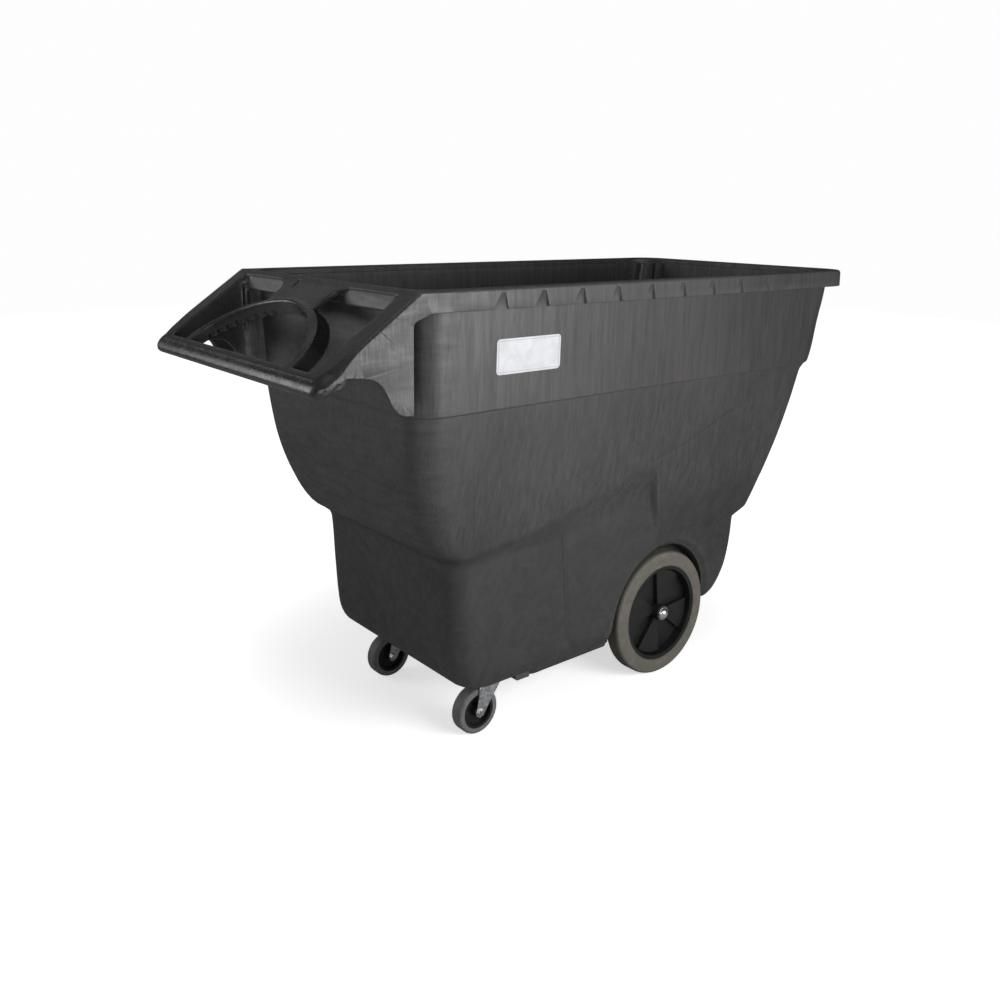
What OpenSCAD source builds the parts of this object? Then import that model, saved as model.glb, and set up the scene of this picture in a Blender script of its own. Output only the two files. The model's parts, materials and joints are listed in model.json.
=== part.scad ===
// Half cubic yard tilt truck: one moulded tub with a sloped end handle, two
// large wheels on a fixed cross axle and two swivel casters.
// Frame: floor at z = 0, +X towards the dump nose, handle at -X, left at +Y, millimetres.
// Name endings: _l length, _w width, _h height, _t thickness, _r radius.

/* [Tub] */
// Overall length, grip bar to nose rim
overall_l = 1537; // [1500:1:1580]
// Width across the rim
rim_w = 711; // [700:1:730]
// Height of the rim above the floor
rim_h = 977.5; // [970:0.5:990]
// Wall thickness of the moulding
wall = 8; // [7:0.5:9]
// Depth of the hanging rim lip
lip_h = 40; // [36:1:44]
// Thickness of the hanging rim lip
lip_t = 6; // [5:0.5:7]

/* [Handle] */
// Radius of the grip bar
bar_r = 18; // [16:0.5:20]
// Distance of the grip bar's centre above the floor
bar_z = 823; // [818:1:828]
// Thickness of the handle deck
deck_t = 9; // [8:0.5:11]
// Half width of the hand opening
hand_half_w = 209; // [204:1:214]
// Depth of the hand opening along the slope
hand_depth = 142; // [138:1:146]
// Height of the rail around the hand opening
rail_h = 30; // [26:1:36]

/* [Wheels] */
// Outer radius of a wheel
wheel_r = 152.4; // [151:0.1:153]
// Inner radius of the tyre
tyre_inner_r = 116.7; // [115:0.1:118]
// Width of the tyre
tyre_w = 43.5; // [42:0.5:45]
// Distance of a tyre's outer face from the centre plane
wheel_face_y = 238; // [237:0.5:240]
// Position of the cross axle along the truck
axle_x = 218.7; // [216:0.1:222]
// Radius of the cross axle
axle_r = 7.94; // [7.9:0.01:8]
// Radial clearance of a running fit
run_gap = 0.06; // [0.03:0.01:0.09]

/* [Casters] */
// Radius of a caster wheel
caster_r = 50.8; // [50:0.1:51.2]
// Width of a caster tread
caster_w = 31.75; // [31:0.25:32.5]
// Distance of a caster from the centre plane
caster_y = 171; // [169:1:173]
// Position of a caster's kingpin along the truck
caster_x = -268; // [-270:1:-266]
// Offset from the kingpin to the caster's axle
caster_trail = 36; // [34:1:38]
// Height of the caster pads under the tub
pad_z = 130; // [129:0.5:131]

/* [Hidden] */

LEFT = 1;                          // sign of y on each side
RIGHT = -1;
BOLT_COLOR = [0.75, 0.75, 0.76];
NUT_COLOR = [0.72, 0.72, 0.73];
WASHER_COLOR = [0.74, 0.75, 0.76];

bar_end_x = -overall_l / 2;        // outer face of the grip bar
bar_x = bar_end_x + bar_r;
nose_x = overall_l / 2;            // outer face of the nose rim
ridge_x = bar_end_x + 202;         // ridge where the rim turns into the handle
rim_half = rim_w / 2;
base_z = pad_z - 15;               // underside of the lowered base

// Fasteners
bolt_r = 3.97;
bolt_hole_r = 4.3;
nut_flats = 12.7;
plate_t = 3;                       // bracket feet, caster plates and fork cheeks

// ---- shared shapes ----
module both_sides() {
  for (side = [RIGHT, LEFT]) scale([1, side, 1]) children();
}
// Extrudes an x-z outline from y towards -Y
module upright(y, thickness) {
  translate([0, y, 0]) rotate([90, 0, 0]) linear_extrude(thickness) children();
}
module tube(outer_r, inner_r, length, facets = 48) {
  difference() {
    cylinder(r = outer_r, h = length, $fn = facets);
    translate([0, 0, -1]) cylinder(r = inner_r, h = length + 2, $fn = facets);
  }
}
// Section rectangle for revolving: y runs along the axis, x is the radius
module band(y0, y1, inner_r, outer_r) {
  translate([inner_r, y0]) square([outer_r - inner_r, y1 - y0]);
}
// Round-head bolt pointing down, underside of the head at z = 0
module coach_bolt(head_r, head_h, length) {
  dome_r = head_r * 1.6;
  translate([0, 0, -length]) cylinder(r = bolt_r, h = length, $fn = 24);
  difference() {
    cylinder(r = head_r, h = head_h, $fn = 32);
    difference() {
      translate([0, 0, -1]) cylinder(r = head_r + 2, h = head_h + 3, $fn = 32);
      translate([0, 0, head_h - dome_r]) sphere(r = dome_r, $fn = 40);
    }
  }
}
module hex_nut(bore_r, height) {
  difference() {
    cylinder(r = nut_flats / sqrt(3), h = height, $fn = 6);
    translate([0, 0, -1]) cylinder(r = bore_r, h = height + 2, $fn = 24);
  }
}
// Solid skinned over a stack of rings, listed from the bottom up
module skin(rings) {
  count = len(rings[0]);
  levels = len(rings);
  polyhedron(points = [for (r = rings) each r],
    faces = concat(
      [[for (i = [0:count - 1]) i]],
      [for (j = [0:levels - 2]) for (i = [0:count - 1])
        let (a = j * count + i, b = j * count + (i + 1) % count)
        each [[a, a + count, b], [b, a + count, b + count]]],
      [[for (i = [count - 1:-1:0]) (levels - 1) * count + i]]), convexity = 6);
}

// ---- tub ----
// Outside of the tub, [height, value]: x of the end wall, x of the nose, half width,
// and corner radii at the end wall and at the nose.
END_X = [[base_z, -200], [129, -205], [130, -340], [134, -358], [142, -376], [152, -389],
  [165, -399], [184, -407], [205, -411], [300, -418], [412, -426], [422, -430],
  [432, -442], [446, -462], [462, -476], [485, -490], [515, -504], [550, -518],
  [590, -530], [629, -538], [717, -548], [747, -551], [937, -559], [978, -560]];
NOSE_X = [[base_z, 352], [119, 382], [130, 418], [146, 455], [170, 478], [200, 499],
  [230, 513], [256, 522], [300, 531], [338, 536], [346, 543], [354, 551], [377, 567],
  [400, 578], [470, 606], [545, 630], [640, 655], [726, 674], [746, 697], [752, 700],
  [850, 726], [937, 748], [978, 752]];
HALF_WIDTH = [[base_z, 226], [130, 232], [140, 240], [152, 246], [165, 249], [190, 251],
  [400, 256], [420, 259], [440, 264], [480, 276], [550, 293], [650, 311], [742, 324],
  [747, 328], [937, 335], [978, 336]];
END_R = [[base_z, 20], [130, 30], [165, 48], [400, 50], [470, 56], [747, 60], [978, 62]];
NOSE_R = [[base_z, 56], [165, 60], [200, 68], [256, 76], [377, 82], [545, 80], [650, 84],
  [748, 90], [978, 88]];
// Heights of the rings above the pads, outside and inside
OUTER_Z = [134, 142, 152, 165, 184, 205, 256, 300, 338, 346, 354, 377, 400, 422, 432, 446,
  462, 485, 515, 550, 590, 640, 717, 726, 742, 747, 752, 850, 937];
INNER_Z = [142, 150, 160, 173, 192, 213, 264, 308, 340, 350, 362, 385, 408, 430, 440, 454,
  470, 493, 523, 558, 598, 648, 725, 745, 760, 858, 945, 962];
mouth_z = 960;                     // height whose section shapes the mouth
corner_steps = 10;
rim_r = 70;                        // corner radius of the rim
well_gap = 16;                     // room around a wheel
well_y = 187;                      // inner face of a wheel well
tunnel_w = 40;
tunnel_z = 90;                     // start of the axle tunnel cut, below the base

function arc(x, y, r, start) = [for (i = [0:corner_steps])
  let (angle = start + 90 * i / corner_steps) [x + r * cos(angle), y + r * sin(angle)]];
// Rounded rectangle from x0 (corners r0) to x1 (corners r1), hw its half width
function plan(x0, x1, hw, r0, r1) = concat(
  arc(x1 - r1, hw - r1, r1, 0), arc(x0 + r0, hw - r0, r0, 90),
  arc(x0 + r0, r0 - hw, r0, 180), arc(x1 - r1, r1 - hw, r1, 270));
function lift(points, z) = [for (p = points) [p[0], p[1], z]];
// Ring of the tub at height z, with the section found at section_z shrunk by inset
function ring(z, section_z, inset) = lift(plan(
  lookup(section_z, END_X) + inset,
  lookup(section_z, NOSE_X) - inset,
  lookup(section_z, HALF_WIDTH) - inset,
  max(8, lookup(section_z, END_R) - inset),
  max(12, lookup(section_z, NOSE_R) - inset)), z);
function rim_ring(z, inset) = lift(plan(ridge_x - 8 + inset, nose_x - inset,
  rim_half - inset, rim_r - inset, rim_r - inset), z);

// Outside of the body, turned over at the top into the hanging lip
module tub_outside() {
  skin(concat(
    [ring(base_z, base_z, 0), ring(119, 119, 0), ring(pad_z, 129, 0), ring(pad_z, 130, 0)],
    [for (z = OUTER_Z) ring(z, z, 0)],
    [ring(rim_h - 8, mouth_z, 0),
     rim_ring(rim_h - 8, lip_t), rim_ring(rim_h - lip_h, lip_t), rim_ring(rim_h - lip_h, 0),
     rim_ring(rim_h - 5, 0), rim_ring(rim_h - 1.5, 1.5), rim_ring(rim_h, 5)]));
}
module tub_inside() {
  floor_z = pad_z + wall;
  skin(concat(
    [ring(base_z + wall, base_z, wall), ring(floor_z, 129, wall), ring(floor_z, 130, wall)],
    [for (z = INNER_Z) ring(z, max(130, z - 6), wall)],
    [ring(964, mouth_z, wall - 3), ring(rim_h - 3, mouth_z, wall - 4),
     ring(rim_h + 1, mouth_z, wall - 6)]));
}
// Space inside the mid-surface of the wall near the mouth
module mouth_core() {
  skin(concat([for (z = [700, 717, 747, 937]) ring(z, z, 4)],
    [ring(rim_h - 8, mouth_z, 3), ring(rim_h + 1, mouth_z, 1)]));
}
module wheel_well(side, grow) {
  translate([axle_x, side * (well_y - grow), wheel_r]) rotate([-90 * side, 0, 0])
    cylinder(r = wheel_r + well_gap + grow, h = 120, $fn = 72);
}
// Tunnel for the cross axle, open downwards
module axle_tunnel(grow) {
  translate([axle_x - tunnel_w / 2 - grow, -200, tunnel_z])
    cube([tunnel_w + 2 * grow, 400, wheel_r + well_gap + grow - tunnel_z]);
}
module wheel_room(grow) {
  for (side = [RIGHT, LEFT]) wheel_well(side, grow);
  axle_tunnel(grow);
}
// Hollow body, keeping a wall around the wheel wells and the tunnel
module tub_body() {
  difference() {
    tub_outside();
    difference() {
      tub_inside();
      wheel_room(wall);
    }
    wheel_room(0);
  }
}

// ---- handle ----
// The deck's top runs from the ridge to a point on the bar's upper outer side
deck_drop = rim_h - bar_z - bar_r * 0.81;
deck_run = ridge_x - bar_x + bar_r * 0.586;
deck_angle = atan2(deck_drop, deck_run);
deck_l = (ridge_x - bar_x) * cos(deck_angle) + (rim_h - bar_z) * sin(deck_angle) - 3.5;
deck_half = rim_half - 0.4;        // outer faces of the deck and side plates
side_plate_t = 9;
hand_steps = 36;
// Side pocket in deck coordinates: distance from the ridge (downhill is negative), y
POCKET = [[-14, 304], [-14, 138], [-24, 114], [-38, 103], [-58, 98], [-217, 98],
  [-217, 296], [-209, 304]];
// Sloped face under a pocket in deck coordinates: distance from the ridge, height
POCKET_SLOPE = [[-13, -2], [-34, -26], [-30, -30], [6, -30], [6, -6]];
// Lower edge of a side plate from the grip bar inwards: x, z from the bar's centre
SIDE_EDGE = [[-7, 15], [0, -4], [11, 9], [31.5, 16], [48.5, 17], [65.5, 15], [82.5, 12],
  [95.5, 5.5], [106, -5], [115, -20], [124, -38], [135, -52], [147, -58], [169, -61]];
// Inner walls of the handle's sides: x, y at the foot, y at the top, z of the foot
RIB = [[-738, 303, 307, 812], [-715, 302, 307, 810], [-695, 301, 307, 814],
  [-682, 300, 307, 822], [-673, 300, 307, 828], [-655, 300, 307, 829],
  [-636, 300, 307, 826], [-626, 300, 307, 818.5], [-615, 299, 307, 806.5],
  [-607, 298, 306, 795], [-600, 296, 305, 785], [-590, 291, 302, 773],
  [-577, 281, 293, 766], [-565, 272, 281, 763], [-549, 262, 266, 762]];
rib_half_t = 3;

// Section of a rib at one station, its top kept below the deck's surface
function rib_loop(station, side) =
  let (x = station[0], foot_y = station[1], top_y = station[2], foot_z = station[3],
    top_z = min(rim_h - 12, rim_h - 3 - (ridge_x - x) * tan(deck_angle)),
    corners = [[foot_y - rib_half_t, foot_z], [foot_y + rib_half_t, foot_z],
      [top_y + rib_half_t, top_z], [top_y - rib_half_t, top_z]])
  [for (i = side > 0 ? [0, 1, 2, 3] : [3, 2, 1, 0]) [x, side * corners[i][0], corners[i][1]]];

// Places children with z = 0 on the deck's top and the origin on the ridge
module on_deck() { translate([ridge_x, 0, rim_h]) rotate([0, -deck_angle, 0]) children(); }
// Half superellipse: straight edge at distance foot down the slope, bulging uphill
module hand_outline(half_w, depth, foot, exponent) {
  polygon([for (i = [0:hand_steps])
    let (angle = 180 * i / hand_steps, c = cos(angle), s = sin(angle))
    [-(foot - depth * pow(abs(s), 2 / exponent)),
      half_w * sign(c) * pow(abs(c), 2 / exponent)]]);
}
module rail_outline() { hand_outline(hand_half_w + 21, hand_depth + 16, 221.5, 1.9); }
// Deck with the hand opening and its rail, two side pockets and a small slot
module deck() {
  on_deck() difference() {
    union() {
      translate([-deck_l, -deck_half, -deck_t]) cube([deck_l, 2 * deck_half, deck_t]);
      translate([0, 0, -rail_h + 4]) linear_extrude(rail_h) rail_outline();
    }
    translate([0, 0, -60]) linear_extrude(120)
      hand_outline(hand_half_w, hand_depth, 222, 1.85);
    both_sides() translate([0, 0, -60]) linear_extrude(120) difference() {
      polygon(POCKET);
      rail_outline();
    }
    translate([-34, 57, -20]) cube([22, 6, 40]);
  }
  // sloped face under the upper end of each pocket
  for (y = [-120, 306]) on_deck() upright(y, 186) polygon(POCKET_SLOPE);
}
module side_plates() {
  for (y = [-deck_half + side_plate_t, deck_half]) upright(y, side_plate_t)
    polygon(concat(
      [[ridge_x + 70, rim_h - 5], [ridge_x, rim_h - 1]],
      [for (p = SIDE_EDGE) [bar_x + p[0], bar_z + p[1]]],
      [[bar_x + 169, rim_h - 57], [bar_x + 190, rim_h - 48],
       [bar_x + 206, rim_h - lip_h], [ridge_x + 70, rim_h - lip_h]]));
}
module handle() {
  // grip bar
  translate([bar_x, -rim_half + 14, bar_z]) rotate([-90, 0, 0])
    cylinder(r = bar_r, h = rim_w - 28, $fn = 48);
  deck();
  side_plates();
  // flat corners of the flange, outside the rounded rim
  both_sides() translate([ridge_x - 4, 290, rim_h - 10]) cube([74, rim_half - 3 - 290, 9]);
  // inner walls curving in to the end wall
  for (side = [RIGHT, LEFT]) skin([for (station = RIB) rib_loop(station, side)]);
  // return of the side plates
  both_sides() translate([bar_x + 161, 288, bar_z - 55])
    cube([8, rim_half - 8 - 288, rim_h - 6 - bar_z + 55]);
}

module tub() color([0.13, 0.13, 0.135]) {
  difference() {
    union() {
      tub_body();
      // side runners by the front of the caster pads
      both_sides() translate([-240, 206, base_z]) cube([45, 23, 16]);
      difference() {
        handle();
        mouth_core();
      }
    }
    at_mount_bolts() translate([0, 0, 120]) cylinder(r = bolt_hole_r, h = 24, $fn = 24);
    at_bracket_bolts() translate([0, 0, 100]) cylinder(r = bolt_hole_r, h = 40, $fn = 24);
  }
}

// ---- blank plate on the upper side band ----
side_band_z = 747;                 // the band runs from here up to side_band_top
side_band_top = 937;
side_band_y = lookup(side_band_z, HALF_WIDTH);
side_band_lean = atan2(lookup(side_band_top, HALF_WIDTH) - side_band_y,
  side_band_top - side_band_z);
label_l = 160;
label_h = 68;
label_t = 0.6;
label_r = 8;                       // corner radius

module label_right() color([0.86, 0.87, 0.88]) {
  translate([-302, -(side_band_y + 0.08), side_band_z]) rotate([side_band_lean, 0, 0])
    translate([-label_l / 2, -label_t, 64]) difference() {
      cube([label_l, label_t, label_h]);
      // round the corners
      for (x = [0, label_l]) for (z = [0, label_h]) translate([x, -1, z]) difference() {
        translate([-label_r, 0, -label_r]) cube([2 * label_r, 3, 2 * label_r]);
        translate([x == 0 ? label_r : -label_r, -1, z == 0 ? label_r : -label_r])
          rotate([-90, 0, 0]) cylinder(r = label_r, h = 5, $fn = 24);
      }
    }
}

// ---- cross axle ----
axle_end_y = 250;
hub_inner_y = 190.6;               // inner end of a hub
hub_outer_y = 240.9;               // outer end of a hub
bracket_y = 150;
bracket_t = 4;                     // upright of a bracket
bracket_bolt_dx = 40;              // bolt's distance from the axle along the truck
bracket_nut_h = 6.8;
fixed_bore_r = axle_r + 0.1;       // brackets, spacers and washers
washer_t = 2;
washer_gap = 0.1;

// Places a child drawn along +Z on the axle line, pointing outwards from y
module on_axle(side, y) {
  translate([axle_x, side * y, wheel_r]) rotate([-90 * side, 0, 0]) children();
}
module on_both_ends(y) { for (side = [RIGHT, LEFT]) on_axle(side, y) children(); }
module at_bracket_bolts() {
  for (dx = [-bracket_bolt_dx, bracket_bolt_dx]) for (side = [RIGHT, LEFT])
    translate([axle_x + dx, side * bracket_y, 0]) children();
}

module axle() color([0.68, 0.69, 0.7]) on_axle(LEFT, -axle_end_y)
  cylinder(r = axle_r, h = 2 * axle_end_y, $fn = 48);
module axle_brackets() color([0.6, 0.61, 0.62]) for (side = [RIGHT, LEFT]) difference() {
  union() {
    translate([axle_x - 52, side * bracket_y - 19, base_z - plate_t]) cube([104, 38, plate_t]);
    translate([axle_x - 17, side * bracket_y - bracket_t / 2, base_z - 1])
      cube([34, bracket_t, wheel_r + 14 - base_z]);
  }
  on_axle(LEFT, -200) cylinder(r = fixed_bore_r, h = 400, $fn = 48);
  for (dx = [-bracket_bolt_dx, bracket_bolt_dx])
    translate([axle_x + dx, side * bracket_y, base_z - 10])
      cylinder(r = bolt_hole_r, h = 20, $fn = 24);
}
module axle_bracket_bolts() color(BOLT_COLOR) at_bracket_bolts()
  translate([0, 0, base_z + wall]) coach_bolt(head_r = 10, head_h = 4.5, length = wall + 14);
module axle_bracket_nuts() color(NUT_COLOR) at_bracket_bolts()
  translate([0, 0, base_z - plate_t - bracket_nut_h]) hex_nut(bolt_r, bracket_nut_h);
module axle_spacers() color([0.62, 0.63, 0.64])
  on_both_ends(bracket_y + bracket_t / 2) tube(11, fixed_bore_r, 36.4);
module axle_washers_inner() color(WASHER_COLOR)
  on_both_ends(hub_inner_y - washer_gap - washer_t) tube(17, fixed_bore_r, washer_t);
module axle_washers_outer() color(WASHER_COLOR)
  on_both_ends(hub_outer_y + washer_gap) tube(16, fixed_bore_r, washer_t);
// Flanged domed caps with a blind bore for the axle's end
module axle_caps() color([0.86, 0.87, 0.88])
  on_both_ends(hub_outer_y + washer_gap + washer_t + 0.05) difference() {
    union() {
      cylinder(r = 14.6, h = 2.4, $fn = 48);
      intersection() {
        cylinder(r = 13.2, h = 14, $fn = 48);
        translate([0, 0, -4.4]) sphere(r = 15, $fn = 48);
      }
    }
    translate([0, 0, -1]) cylinder(r = axle_r,
      h = 1 + axle_end_y - hub_outer_y - washer_gap - washer_t, $fn = 48);
  }

// ---- large wheels ----
shoulder_r = 9;                    // rounding of the tyre's shoulders
groove_w = 1.4;
bush_r = 11;
spoke_turn = 17;                   // angle of the first spoke

// Tyre with rounded shoulders and two fine grooves around the tread
module tyre(side) color([0.62, 0.61, 0.57])
  on_axle(side, wheel_face_y - tyre_w) rotate_extrude($fn = 96) difference() {
    union() {
      band(0, tyre_w, tyre_inner_r, wheel_r - shoulder_r);
      band(shoulder_r, tyre_w - shoulder_r, tyre_inner_r, wheel_r);
      for (y = [shoulder_r, tyre_w - shoulder_r])
        translate([wheel_r - shoulder_r, y]) circle(r = shoulder_r, $fn = 32);
    }
    for (y = [-6, 6])
      translate([wheel_r - 0.8, tyre_w / 2 + y - groove_w / 2]) square([2, groove_w]);
  }
module sector(inner_r, outer_r, half_angle, height) {
  linear_extrude(height) polygon(concat(
    [for (a = [-half_angle:half_angle / 4:half_angle]) inner_r * [cos(a), sin(a)]],
    [for (a = [half_angle:-half_angle / 8:-half_angle]) outer_r * [cos(a), sin(a)]]));
}
module at_spokes(side, z) {
  for (a = [0:90:270]) rotate([0, 0, a + spoke_turn * side]) translate([0, 0, z]) children();
}
// Boss, web and rim, with four broad spokes hollowed from the inner face
module wheel_hub(side) color([0.07, 0.07, 0.075]) on_axle(side, hub_inner_y) difference() {
  union() {
    rotate_extrude($fn = 96) union() {
      band(0.3, 50.1, bush_r, 19);
      band(16, 22, 18, 112);
      band(6.9, 45, 108, tyre_inner_r);
    }
    at_spokes(side, 20) sector(18.5, 103, 22, 14);
  }
  at_spokes(side, 14) sector(26, 98, 18, 15.5);
}
module hub_bush(side) color([0.9, 0.89, 0.85])
  on_axle(side, hub_inner_y) translate([0, 0, 0.1]) tube(bush_r, axle_r + run_gap, 50.2);

module tyre_left() tyre(LEFT);
module tyre_right() tyre(RIGHT);
module wheel_hub_left() wheel_hub(LEFT);
module wheel_hub_right() wheel_hub(RIGHT);
module hub_bush_left() hub_bush(LEFT);
module hub_bush_right() hub_bush(RIGHT);

// ---- swivel casters, drawn about the kingpin with the pad face at z = pad_z ----
mount_dx = 38;                     // mounting holes from the kingpin
mount_dy = 25;
mount_nut_h = 6.5;
ball_z = pad_z - 9.5;              // centre of the ball race
ball_count = 14;
race_gap = 3.1;                    // ball centre to the faces above and below
crown_z = ball_z - race_gap;       // top of the fork crown
crown_t = 4;
kingpin_r = 5;
kingpin_head_h = 3.5;
cheek_y = 21.5;                    // outer face of a fork cheek
cross_bolt_r = 4;
cross_bore_r = 4.1;                // fork and sleeve
cross_head_h = 5.3;
nut_y = cheek_y + 0.1;             // seats of the cross bolt's head and nut
sleeve_r = 6.3;
sleeve_half = 18.4;
core_r = 38.5;                     // outside of the core, inside of the tread
tread_edge_r = 5;

module at_plate_holes() {
  for (x = [-mount_dx, mount_dx]) for (y = [-mount_dy, mount_dy])
    translate([x, y, 0]) children();
}
// Mounting plate with the boss and ring of the ball race under it
module caster_plate() color([0.72, 0.73, 0.74]) difference() {
  union() {
    translate([-48, -33, pad_z - plate_t]) cube([96, 66, plate_t]);
    translate([0, 0, ball_z + race_gap]) cylinder(r = 24, h = pad_z - ball_z - 4, $fn = 48);
    translate([0, 0, ball_z - 1]) tube(24.5, 21.5, 6);
  }
  translate([0, 0, 90]) cylinder(r = kingpin_r, h = 60, $fn = 32);
  at_plate_holes() translate([0, 0, pad_z - 10]) cylinder(r = bolt_hole_r, h = 20, $fn = 24);
}
module caster_kingpin() color([0.66, 0.67, 0.68]) {
  shank_z = crown_z - crown_t - 0.2;
  translate([0, 0, crown_z - crown_t - 0.1 - kingpin_head_h])
    cylinder(r = 9, h = kingpin_head_h, $fn = 32);
  translate([0, 0, shank_z]) cylinder(r = kingpin_r, h = pad_z - 0.2 - shank_z, $fn = 32);
}
module caster_balls() color([0.8, 0.8, 0.82])
  for (i = [0:ball_count - 1]) rotate([0, 0, i * 360 / ball_count])
    translate([17.2, 0, ball_z]) sphere(r = 3, $fn = 24);
// Crown and two cheeks trailing down to the axle
module caster_fork() color([0.74, 0.75, 0.76]) difference() {
  union() {
    translate([0, 0, crown_z - crown_t]) cylinder(r = 20.5, h = crown_t, $fn = 48);
    translate([-30, -cheek_y, crown_z - crown_t]) cube([48, 2 * cheek_y, 3]);
    for (y = [-cheek_y + plate_t, cheek_y]) upright(y, plate_t) union() {
      polygon([[-30, crown_z - 1], [18, crown_z - 1], [18, crown_z - 12],
        [-caster_trail + 10.2, caster_r - 4.5], [-caster_trail - 9.2, caster_r + 6.5],
        [-36, crown_z - 14]]);
      translate([-caster_trail, caster_r]) circle(r = 11, $fn = 36);
    }
  }
  translate([0, 0, 90]) cylinder(r = kingpin_r + run_gap, h = 60, $fn = 32);
  on_caster_axle(-40) cylinder(r = cross_bore_r, h = 80, $fn = 32);
}
// Places a child drawn along +Z on the caster's axle line, pointing to +Y from y
module on_caster_axle(y) {
  translate([-caster_trail, y, caster_r]) rotate([-90, 0, 0]) children();
}
module caster_axle_bolt() color([0.7, 0.71, 0.72]) {
  on_caster_axle(-nut_y) cylinder(r = cross_bolt_r, h = 51, $fn = 32);
  on_caster_axle(-nut_y - cross_head_h) cylinder(r = 7.3, h = cross_head_h, $fn = 6);
}
module caster_axle_nut() color([0.7, 0.71, 0.72]) on_caster_axle(nut_y)
  hex_nut(cross_bolt_r, 6.5);
module caster_sleeve() color([0.7, 0.7, 0.68]) on_caster_axle(-sleeve_half)
  tube(sleeve_r, cross_bore_r, 2 * sleeve_half);
// Wheel centre: boss, web and rim
module caster_core() color([0.08, 0.08, 0.085]) on_caster_axle(0)
  rotate_extrude($fn = 72) union() {
    band(-18.1, 18.1, sleeve_r + run_gap, 13);
    band(-4, 4, 12, 36);
    band(-14.2, 14.2, 33.5, core_r);
  }
module caster_tread() color([0.36, 0.36, 0.37]) on_caster_axle(0)
  rotate_extrude($fn = 72) union() {
    flat_half = caster_w / 2 - tread_edge_r;
    band(-caster_w / 2, caster_w / 2, core_r, caster_r - tread_edge_r);
    band(-flat_half, flat_half, core_r, caster_r);
    for (y = [-flat_half, flat_half])
      translate([caster_r - tread_edge_r, y]) circle(r = tread_edge_r, $fn = 32);
  }

module at_caster(side) { translate([caster_x, side * caster_y, 0]) children(); }
module caster_plate_left() at_caster(LEFT) caster_plate();
module caster_kingpin_left() at_caster(LEFT) caster_kingpin();
module caster_balls_left() at_caster(LEFT) caster_balls();
module caster_fork_left() at_caster(LEFT) caster_fork();
module caster_axle_bolt_left() at_caster(LEFT) caster_axle_bolt();
module caster_axle_nut_left() at_caster(LEFT) caster_axle_nut();
module caster_sleeve_left() at_caster(LEFT) caster_sleeve();
module caster_core_left() at_caster(LEFT) caster_core();
module caster_tread_left() at_caster(LEFT) caster_tread();
module caster_plate_right() at_caster(RIGHT) caster_plate();
module caster_kingpin_right() at_caster(RIGHT) caster_kingpin();
module caster_balls_right() at_caster(RIGHT) caster_balls();
module caster_fork_right() at_caster(RIGHT) caster_fork();
module caster_axle_bolt_right() at_caster(RIGHT) caster_axle_bolt();
module caster_axle_nut_right() at_caster(RIGHT) caster_axle_nut();
module caster_sleeve_right() at_caster(RIGHT) caster_sleeve();
module caster_core_right() at_caster(RIGHT) caster_core();
module caster_tread_right() at_caster(RIGHT) caster_tread();

module at_mount_bolts() {
  for (side = [RIGHT, LEFT]) at_caster(side) at_plate_holes() children();
}
module caster_mount_bolts() color(BOLT_COLOR) at_mount_bolts()
  translate([0, 0, pad_z + wall + 1.7])
    coach_bolt(head_r = 9, head_h = 4.2, length = wall + 15.5);
module caster_mount_washers() color(WASHER_COLOR) at_mount_bolts()
  translate([0, 0, pad_z + wall + 0.05]) tube(12, 4.2, 1.6, 32);
module caster_mount_nuts() color(NUT_COLOR) at_mount_bolts()
  translate([0, 0, pad_z - plate_t - mount_nut_h]) hex_nut(bolt_r, mount_nut_h);

tub();
label_right();
axle();
axle_brackets();
axle_bracket_bolts();
axle_bracket_nuts();
axle_spacers();
axle_washers_inner();
axle_washers_outer();
axle_caps();
tyre_left();
wheel_hub_left();
hub_bush_left();
tyre_right();
wheel_hub_right();
hub_bush_right();
caster_plate_left();
caster_kingpin_left();
caster_balls_left();
caster_fork_left();
caster_axle_bolt_left();
caster_axle_nut_left();
caster_sleeve_left();
caster_core_left();
caster_tread_left();
caster_plate_right();
caster_kingpin_right();
caster_balls_right();
caster_fork_right();
caster_axle_bolt_right();
caster_axle_nut_right();
caster_sleeve_right();
caster_core_right();
caster_tread_right();
caster_mount_bolts();
caster_mount_washers();
caster_mount_nuts();
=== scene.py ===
# Tilt truck: a moulded tub with a looped handle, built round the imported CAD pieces.
# The frame is in metres: +X points to the dump nose, -X to the handle, the floor is z = 0.
# Lengths in the modelling code are millimetres; new_object() turns them into metres.
import bpy
import bmesh
import json
import math
from types import SimpleNamespace
import numpy as np
from mathutils import Vector, Matrix

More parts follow.
